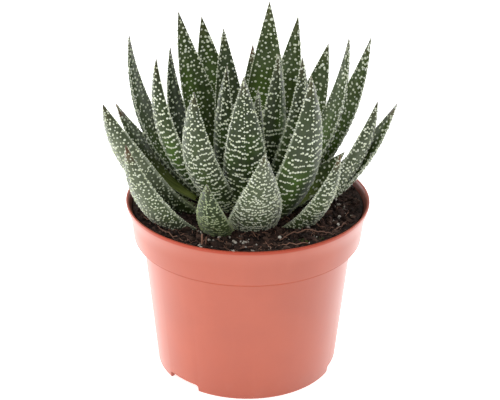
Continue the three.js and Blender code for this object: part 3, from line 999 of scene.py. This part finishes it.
class Leaf:
    """One leaf's run from root to tip, and its skin at any place on it. Lengths are in mm."""

    def __init__(self, listed, settings):
        self.name, (azimuth, tip_turn), root, tip, bow, self.half_width, twist = listed
        self.settings = settings
        self.twist = math.radians(twist)
        self.root = polar(root[0], azimuth, root[1])
        self.tip = polar(tip[0], azimuth + tip_turn, tip[1])
        middle = math.radians(azimuth + tip_turn / 2)
        self.side = np.array([math.cos(middle), math.sin(middle), 0])
        chord = unit(self.tip - self.root)
        inward = unit(np.cross(chord, self.side))
        self.knee = self.root * 0.55 + self.tip * 0.45 - inward * bow
        steps = np.linspace(0, 1, 60)[:, None]
        self.length = np.linalg.norm(np.diff(self.curve(steps), axis=0), axis=1).sum()

    def curve(self, t):
        """The midline's place at a share of its run."""
        return self.root * (1 - t) ** 2 + self.knee * 2 * t * (1 - t) + self.tip * t ** 2

    def width(self, along):
        """Half the width there."""
        from_tip = 1 - along
        rise = np.clip(from_tip / FULL_WIDTH_AT, 0, 1)
        low = np.clip((from_tip - FULL_WIDTH_AT) / (1 - FULL_WIDTH_AT), 0, None)
        return self.half_width * (1 - (1 - rise) ** TAPER_POWER) * (1 - ROOT_NARROWING * low ** 2)

    def thickness(self, along):
        """How deep the keel is there."""
        from_tip = np.clip((1 - along) / 0.85, 0, 1)
        share = 0.92 * (1 - (1 - from_tip) ** 1.7) + 0.08
        return self.half_width * self.settings.keel * share

    def skin(self, along, across, outer):
        """Places on the skin: along from root 0 to tip 1, across -1..1, outer 1 for the keeled face."""
        t = np.clip(along, 0, 1)[..., None]
        tangent = unit(2 * (1 - t) * (self.knee - self.root) + 2 * t * (self.tip - self.knee))
        centre = self.curve(t) + tangent * np.minimum(along, 0)[..., None] * self.length
        side = unit(self.side - tangent * (tangent @ self.side)[..., None])
        inward = np.cross(tangent, side)
        turn = (self.twist * np.clip(along, 0, None))[..., None]
        across_dir = side * np.cos(turn) + inward * np.sin(turn)
        inward_dir = inward * np.cos(turn) - side * np.sin(turn)
        half = self.width(along)
        far = np.abs(across)
        rise = self.settings.channel * half
        dish = rise * (0.1 + 0.9 * np.clip((far - 0.3) / 0.7, 0, 1) ** 1.6)
        bulge = np.clip(1 - far ** KEEL_ROUND, 0, 1) ** KEEL_FULL
        keel = rise * far ** EDGE_RISE - self.thickness(along) * bulge
        level = np.where(outer > 0.5, keel, dish)
        return centre + across_dir * (half * across)[..., None] + inward_dir * level[..., None]

    def frame(self, along, across, outer):
        """Places on the skin with the ways along it and out of it."""
        here = self.skin(along, across, outer)
        step = np.where(across > 0, 0.02, -0.02)
        over = unit((here - self.skin(along, across - step, outer)) / step[..., None])
        ahead = unit(self.skin(along + 0.002, across, outer) - self.skin(along - 0.002, across, outer))
        out = unit(np.cross(ahead, over)) * np.where(outer > 0.5, 1, -1)[..., None]
        dished = self.skin(along, across * 0, outer * 0)
        keeled = self.skin(along, across * 0, outer * 0 + 1)
        middle = dished * 0.5 + keeled * 0.5
        wrong = np.sum(out * (here - middle), axis=-1) < 0
        return here, ahead, np.where(wrong[..., None], -out, out)


def leaf_body(leaf, rows):
    """The leaf's skin as a closed grid, with what its material needs at each point."""
    outer_cols = 26
    inner_cols = 18
    grid_end = 0.992
    outer_across = np.sin(np.linspace(-1, 1, outer_cols + 1)[:-1] * math.pi / 2)
    inner_across = np.sin(np.linspace(1, -1, inner_cols + 1)[:-1] * math.pi / 2)
    across = np.concatenate([outer_across, inner_across])
    outer = np.concatenate([np.ones(outer_cols), np.zeros(inner_cols)])
    share = np.linspace(0, 1, rows)
    along = HEEL + (grid_end - HEEL) * (1 - (1 - share) ** 1.25)
    ring = len(across)
    along_grid = np.repeat(along, ring)
    across_grid = np.tile(across, rows)
    outer_grid = np.tile(outer, rows)
    points = leaf.skin(along_grid, across_grid, outer_grid)
    heel = leaf.skin(np.array([HEEL - 0.01]), np.zeros(1), np.zeros(1))
    tip = leaf.tip[None, :]
    points = np.concatenate([points, heel, tip])
    faces = []
    for row in range(rows - 1):
        for col in range(ring):
            a = row * ring + col
            b = row * ring + (col + 1) % ring
            faces.append((a, b, b + ring, a + ring))
    last = (rows - 1) * ring
    for col in range(ring):
        after = (col + 1) % ring
        faces.append((after, col, len(points) - 2))
        faces.append((last + col, last + after, len(points) - 1))
    facts = {
        "along": np.concatenate([along_grid, [HEEL, 1.0]]),
        "side": np.concatenate([across_grid, [0, 0]]),
        "outer": np.concatenate([outer_grid, [0, 1]]),
        "wart": np.zeros(len(points)),
    }
    return points, faces, facts


# Distance over the outer skin from the keel, in half widths, against the distance across the leaf.
ACROSS = np.linspace(0, 1, 400)
KEEL_LEVEL = 0.5 * (1 - ACROSS ** KEEL_ROUND) ** KEEL_FULL - 0.12 * ACROSS ** EDGE_RISE
OVER_SKIN = np.concatenate([[0], np.cumsum(np.hypot(np.diff(ACROSS), np.diff(KEEL_LEVEL)))])


def across_at(distance, outer):
    """The place across the leaf at a distance over its skin from the midline."""
    far = np.interp(np.abs(distance), OVER_SKIN, ACROSS)
    return np.sign(distance) * np.where(outer > 0.5, far, np.minimum(np.abs(distance), 1))


def wart_spots(leaf, dice):
    """Where the warts sit: along, over the skin, outer, half length across, half length along, height.

    On the outer face they run together into beady wavy rows lower down. Elsewhere they stand singly.
    """
    spots = []
    row_gap = ROW_GAP.get(leaf.name, 2.9)
    low_leaf = leaf.name.startswith("outer")
    runs_to = 0.75 if low_leaf else 0.62
    scattered_warts = leaf.name in ("outer_1", "outer_2", "outer_6", "outer_7")
    bare_to = 0.1 if leaf.name == "outer_1" else 0.45
    for outer in (0, 1):
        place = 3.0
        reach_share = OVER_SKIN[-1] if outer else 1.0
        while place < leaf.length - 1.0:
            share = place / leaf.length
            half = float(leaf.width(np.array([share]))[0])
            near_tip = clamped((share - runs_to) / 0.25)
            beady = (1 - near_tip) * (0.78 if outer else 0.15) * (0.6 if scattered_warts else 1)
            radius = 0.68 - 0.16 * near_tip * outer
            if low_leaf and outer:
                radius *= min(1, 0.3 + 0.27 * row_gap)
            phase = dice.uniform(0, 6.3)
            waves = dice.uniform(1.5, 3.5)
            reach = half * reach_share - 0.3
            y = -reach + dice.uniform(0, 1.0)
            # A low leaf's inner face has no warts near its root.
            if low_leaf and not outer and share < bare_to:
                y = reach
            while y < reach:
                across = y / (half * reach_share)
                sag = 1.6 * across * across if outer else 0.4 * across
                jitter = 0.26 if outer and near_tip < 0.5 and not scattered_warts else 0.6
                wave = 0.17 * row_gap * math.sin(phase + waves * across * 3)
                lift = sag + wave + dice.gauss(0, jitter)
                thick = radius * dice.choice((0.65, 0.85, 1.0, 1.1))
                wide = thick * dice.uniform(0.95, 1.35)
                along = (place + lift) / leaf.length
                spots.append((along, y / half, outer, wide, thick, dice.uniform(0.7, 1.2)))
                if dice.random() < beady:
                    y += dice.uniform(1.4, 1.8) * wide
                else:
                    open_gap = dice.uniform(1.6, 3.8) if not outer else dice.uniform(1.4, 3.2)
                    y += open_gap * (1 - 0.2 * near_tip)
            spread = (row_gap if outer else 2.6) * (1 - 0.2 * near_tip)
            if share > 0.8:
                spread *= 0.78
            place += spread * dice.uniform(0.8, 1.2)
    # One row of small ones runs along the keel, out to the tip.
    keel_place = leaf.length * 0.55
    while keel_place < leaf.length - 1:
        spots.append((keel_place / leaf.length, 0.0, 1, 0.32, 0.42, 1.3))
        keel_place += dice.uniform(1.3, 2.2)
    return [spot for spot in spots if 0.02 < spot[0] < 0.985]


def leaf_warts(leaf, spots, tall):
    """The warts as small domes on the skin."""
    sides = 8
    rim = np.linspace(0, 2 * math.pi, sides, endpoint=False)
    shape_x = np.concatenate([np.cos(rim), np.cos(rim) * 0.66, [0]])
    shape_y = np.concatenate([np.sin(rim), np.sin(rim) * 0.66, [0]])
    lift = np.concatenate([np.full(sides, -0.35), np.full(sides, 0.72), [1.0]])
    white = np.concatenate([np.zeros(sides), np.full(sides, 0.75), [1.0]])
    columns = [np.array(column, float)[:, None] for column in zip(*spots)]
    along, over, outer, wide, thick, height = columns
    here_along = along + shape_y * thick / leaf.length
    here_across = across_at(over + shape_x * wide / leaf.width(along), outer + 0 * shape_x)
    here_outer = outer + 0 * here_across
    points, _, out = leaf.frame(here_along, here_across, here_outer)
    points = points + out * (lift * height * tall)[..., None]
    count = len(spots)
    ring = len(shape_x)
    faces = []
    for spot in range(count):
        start = spot * ring
        flip = spots[spot][2] > 0.5
        for side in range(sides):
            after = (side + 1) % sides
            quad = (start + side, start + after, start + sides + after, start + sides + side)
            cap = (start + sides + side, start + sides + after, start + 2 * sides)
            faces.append(quad if not flip else quad[::-1])
            faces.append(cap if not flip else cap[::-1])
    facts = {
        "along": here_along.ravel(),
        "side": here_across.ravel(),
        "outer": here_outer.ravel(),
        "wart": np.tile(white, count),
    }
    return points.reshape(-1, 3), faces, facts


def leaf_teeth(leaf, dice, tooth):
    """White teeth along both edges, leaning towards the tip."""
    points = []
    faces = []
    alongs = []
    sides_of = []
    whites = []
    for edge in (-1.0, 1.0):
        place = 5.0
        while place < leaf.length - 0.8:
            along = np.array([place / leaf.length])
            here, ahead, _ = [v[0] for v in leaf.frame(along, np.array([edge]), np.zeros(1))]
            small = 0.55 + 0.45 * min(1, (1 - along[0]) * 5)
            size = tooth * small * dice.uniform(0.5, 1.1)
            outward = unit(here - leaf.skin(along, np.array([edge * 0.8]), np.zeros(1))[0])
            across_edge = unit(np.cross(ahead, outward))
            start = len(points)
            for step in range(5):
                turn = 2 * math.pi * step / 5
                wide = 0.42 * math.cos(turn) * ahead + 0.3 * math.sin(turn) * across_edge
                points.append(here + wide * (0.5 + size) - outward * 0.12)
                whites.append(0.45)
            points.append(here + outward * size + ahead * size * 0.45)
            whites.append(1.0)
            for step in range(5):
                faces.append((start + step, start + (step + 1) % 5, start + 5))
            alongs.extend([along[0]] * 6)
            sides_of.extend([edge] * 6)
            place += dice.uniform(0.9, 1.5)
    facts = {"along": alongs, "side": sides_of, "outer": np.zeros(len(points)), "wart": whites}
    return np.array(points), faces, facts


def fresh_patch(name, along, side):
    """How much of the leaf's fresh green patch each of its points has, 0..1."""
    if name not in FRESH:
        return along * 0
    far, across = FRESH[name]
    return np.exp(-((along - far) / 0.13) ** 2 - ((side - across) / 0.5) ** 2)


def make_leaf(listed, settings):
    """One whole leaf: skin, warts and teeth in one mesh."""
    name = listed[0]
    dice = random.Random(name)
    leaf = Leaf(listed, settings)
    batches = [
        leaf_body(leaf, settings.rows),
        leaf_warts(leaf, wart_spots(leaf, dice), settings.wart / MM),
        leaf_teeth(leaf, dice, settings.tooth / MM),
    ]
    points = np.concatenate([batch[0] for batch in batches]) * MM
    faces = []
    start = 0
    for batch in batches:
        faces.extend([tuple(start + i for i in face) for face in batch[1]])
        start += len(batch[0])
    piece = new_piece("spotted_leaf_" + name, points.tolist(), faces)
    facts = {}
    for fact in LEAF_FACTS:
        facts[fact] = np.concatenate([np.asarray(batch[2][fact], float) for batch in batches])
        give(piece, fact, facts[fact])
    for trait, (listed_leaves, usual) in LEAF_TRAITS.items():
        give(piece, trait, np.full(len(points), listed_leaves.get(name, usual)))
    give(piece, "tone", np.full(len(points), DARK.get(name, dice.random())))
    give(piece, "fresh", fresh_patch(name, facts["along"], facts["side"]))
    smooth(piece, 50)
    finish_piece(piece, Paint.made["waxy_leaf"], "spotted_leaf", "leaf_" + name)


def make_whorl(context, whorl):
    """Makes every leaf of one whorl, or stops if the whorl has none."""
    wanted = [listed for listed in LEAVES if listed[0].startswith(whorl)]
    if not wanted:
        raise RuntimeError("no leaf is listed for the whorl " + whorl)
    if "waxy_leaf" not in Paint.made:
        leaf_paint(context.scene.gasteria_leaf)
    for listed in wanted:
        make_leaf(listed, context.scene.gasteria_leaf)


class GASTERIA_OT_make_core_leaves(Operator):
    """Make the youngest leaves, upright in the middle"""

    bl_idname = "gasteria.make_core_leaves"
    bl_label = "Make core leaves"

    def execute(self, context):
        make_whorl(context, "core")
        return {"FINISHED"}


class GASTERIA_OT_make_inner_leaves(Operator):
    """Make the tall leaves round the middle"""

    bl_idname = "gasteria.make_inner_leaves"
    bl_label = "Make inner leaves"

    def execute(self, context):
        make_whorl(context, "inner")
        return {"FINISHED"}


class GASTERIA_OT_make_middle_leaves(Operator):
    """Make the full-grown leaves"""

    bl_idname = "gasteria.make_middle_leaves"
    bl_label = "Make middle leaves"

    def execute(self, context):
        make_whorl(context, "middle")
        return {"FINISHED"}


class GASTERIA_OT_make_outer_leaves(Operator):
    """Make the oldest, lowest leaves in front and at the sides"""

    bl_idname = "gasteria.make_outer_leaves"
    bl_label = "Make outer leaves"

    def execute(self, context):
        make_whorl(context, "outer")
        return {"FINISHED"}


class GASTERIA_OT_make_back_leaves(Operator):
    """Make the low leaves at the back"""

    bl_idname = "gasteria.make_back_leaves"
    bl_label = "Make back leaves"

    def execute(self, context):
        make_whorl(context, "back")
        return {"FINISHED"}


class GASTERIA_OT_dress_stem(Operator):
    """Give the stem its corky skin"""

    bl_idname = "gasteria.dress_stem"
    bl_label = "Dress stem"

    def execute(self, context):
        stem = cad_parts["stem"]
        if not stem.material_slots:
            stem.data.materials.append(None)
        for place in stem.material_slots:
            place.material = stem_paint()
        return {"FINISHED"}


# ---------------------------------------------------------------- stage

CAMERA_SHIFT = 0.0043       # sideways, as a share of the sensor's width
CAMERA_ROLL = 0.6           # degrees


def area_light(name, place, aim, size, power, colour):
    """A square soft light at a place, turned to face the aim."""
    data = bpy.data.lights.new(name, "AREA")
    data.size = size
    data.energy = power
    data.color = colour
    lamp = bpy.data.objects.new(name, data)
    bpy.context.scene.collection.objects.link(lamp)
    lamp.location = place
    lamp.rotation_euler = (Vector(aim) - Vector(place)).to_track_quat("-Z", "Y").to_euler()


class GASTERIA_OT_set_stage(Operator):
    """Set the white floor, the soft light and the camera"""

    bl_idname = "gasteria.set_stage"
    bl_label = "Set stage"

    def execute(self, context):
        stage = context.scene.gasteria_stage
        bpy.ops.object.select_all(action="DESELECT")
        bpy.ops.mesh.primitive_plane_add(size=8, location=(0, 0, 0))
        floor = context.object
        floor.name = "floor"
        floor.data.materials.append(floor_paint())

        # Each light by its place, aim, size in metres, power in watts and colour.
        middle = (0, 0, 0.1)
        area_light("window", (-1.1, -0.5, 0.7), middle, 1.5, 10, (1, 0.985, 0.96))
        area_light("top", (0, 0.3, 1.4), middle, 1.2, 6, (1, 1, 1))
        area_light("left_edge", (-1.1, 0.75, 0.35), middle, 1.1, 16, (0.93, 0.94, 1))
        area_light("right_edge", (1.1, 0.75, 0.35), middle, 1.1, 13, (0.93, 0.94, 1))
        world = bpy.data.worlds.new("white_room")
        context.scene.world = world
        world.use_nodes = True
        world.node_tree.nodes["Background"].inputs["Color"].default_value = (1, 1, 1, 1)
        world.node_tree.nodes["Background"].inputs["Strength"].default_value = stage.sky

        data = bpy.data.cameras.new("camera")
        data.sensor_width = 36
        data.lens = stage.lens
        data.shift_x = CAMERA_SHIFT
        data.clip_start = 0.01
        data.dof.use_dof = False
        camera = bpy.data.objects.new("camera", data)
        context.scene.collection.objects.link(camera)
        lean = stage.elevation
        roll = math.radians(CAMERA_ROLL)
        back = Vector((0, -math.cos(lean), math.sin(lean)))
        level = Vector((1, 0, 0))
        rise = Vector((0, math.sin(lean), math.cos(lean)))
        right = level * math.cos(roll) + rise * math.sin(roll)
        upward = rise * math.cos(roll) - level * math.sin(roll)
        turn = Matrix((right, upward, back)).transposed().to_4x4()
        camera.matrix_world = Matrix.Translation(back * stage.distance + Vector((0, 0, stage.aim))) @ turn
        context.scene.camera = camera
        context.scene.view_settings.view_transform = "Standard"
        return {"FINISHED"}


# ---------------------------------------------------------------- panel

MAKERS = (
    GASTERIA_OT_make_pot,
    GASTERIA_OT_make_soil,
    GASTERIA_OT_make_grit,
    GASTERIA_OT_make_fibres,
    GASTERIA_OT_dress_stem,
    GASTERIA_OT_make_core_leaves,
    GASTERIA_OT_make_inner_leaves,
    GASTERIA_OT_make_middle_leaves,
    GASTERIA_OT_make_outer_leaves,
    GASTERIA_OT_make_back_leaves,
    GASTERIA_OT_set_stage,
)


class GASTERIA_PT_panel(Panel):
    """Lists the makers in working order"""

    bl_idname = "GASTERIA_PT_panel"
    bl_label = "Potted gasteria"
    bl_space_type = "VIEW_3D"
    bl_region_type = "UI"
    bl_category = "Potted gasteria"

    def draw(self, context):
        for maker in MAKERS:
            self.layout.operator(maker.bl_idname)
        for listed, group in SETTINGS.items():
            box = self.layout.box()
            for name in group.__annotations__:
                box.prop(getattr(context.scene, listed), name)


SETTINGS = {
    "gasteria_pot": PotSettings,
    "gasteria_soil": SoilSettings,
    "gasteria_leaf": LeafSettings,
    "gasteria_stage": StageSettings,
}


def register():
    for name, group in SETTINGS.items():
        bpy.utils.register_class(group)
        setattr(bpy.types.Scene, name, PointerProperty(type=group))
    for maker in MAKERS:
        bpy.utils.register_class(maker)
    bpy.utils.register_class(GASTERIA_PT_panel)


def unregister():
    bpy.utils.unregister_class(GASTERIA_PT_panel)
    for maker in reversed(MAKERS):
        bpy.utils.unregister_class(maker)
    for name, group in SETTINGS.items():
        delattr(bpy.types.Scene, name)
        bpy.utils.unregister_class(group)


def main():
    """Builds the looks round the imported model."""
    register()
    bpy.ops.gasteria.make_pot()
    bpy.ops.gasteria.make_soil()
    bpy.ops.gasteria.make_grit()
    bpy.ops.gasteria.make_fibres()
    bpy.ops.gasteria.dress_stem()
    bpy.ops.gasteria.make_core_leaves()
    bpy.ops.gasteria.make_inner_leaves()
    bpy.ops.gasteria.make_middle_leaves()
    bpy.ops.gasteria.make_outer_leaves()
    bpy.ops.gasteria.make_back_leaves()
    bpy.ops.gasteria.set_stage()


if __name__ == "__main__":
    main()
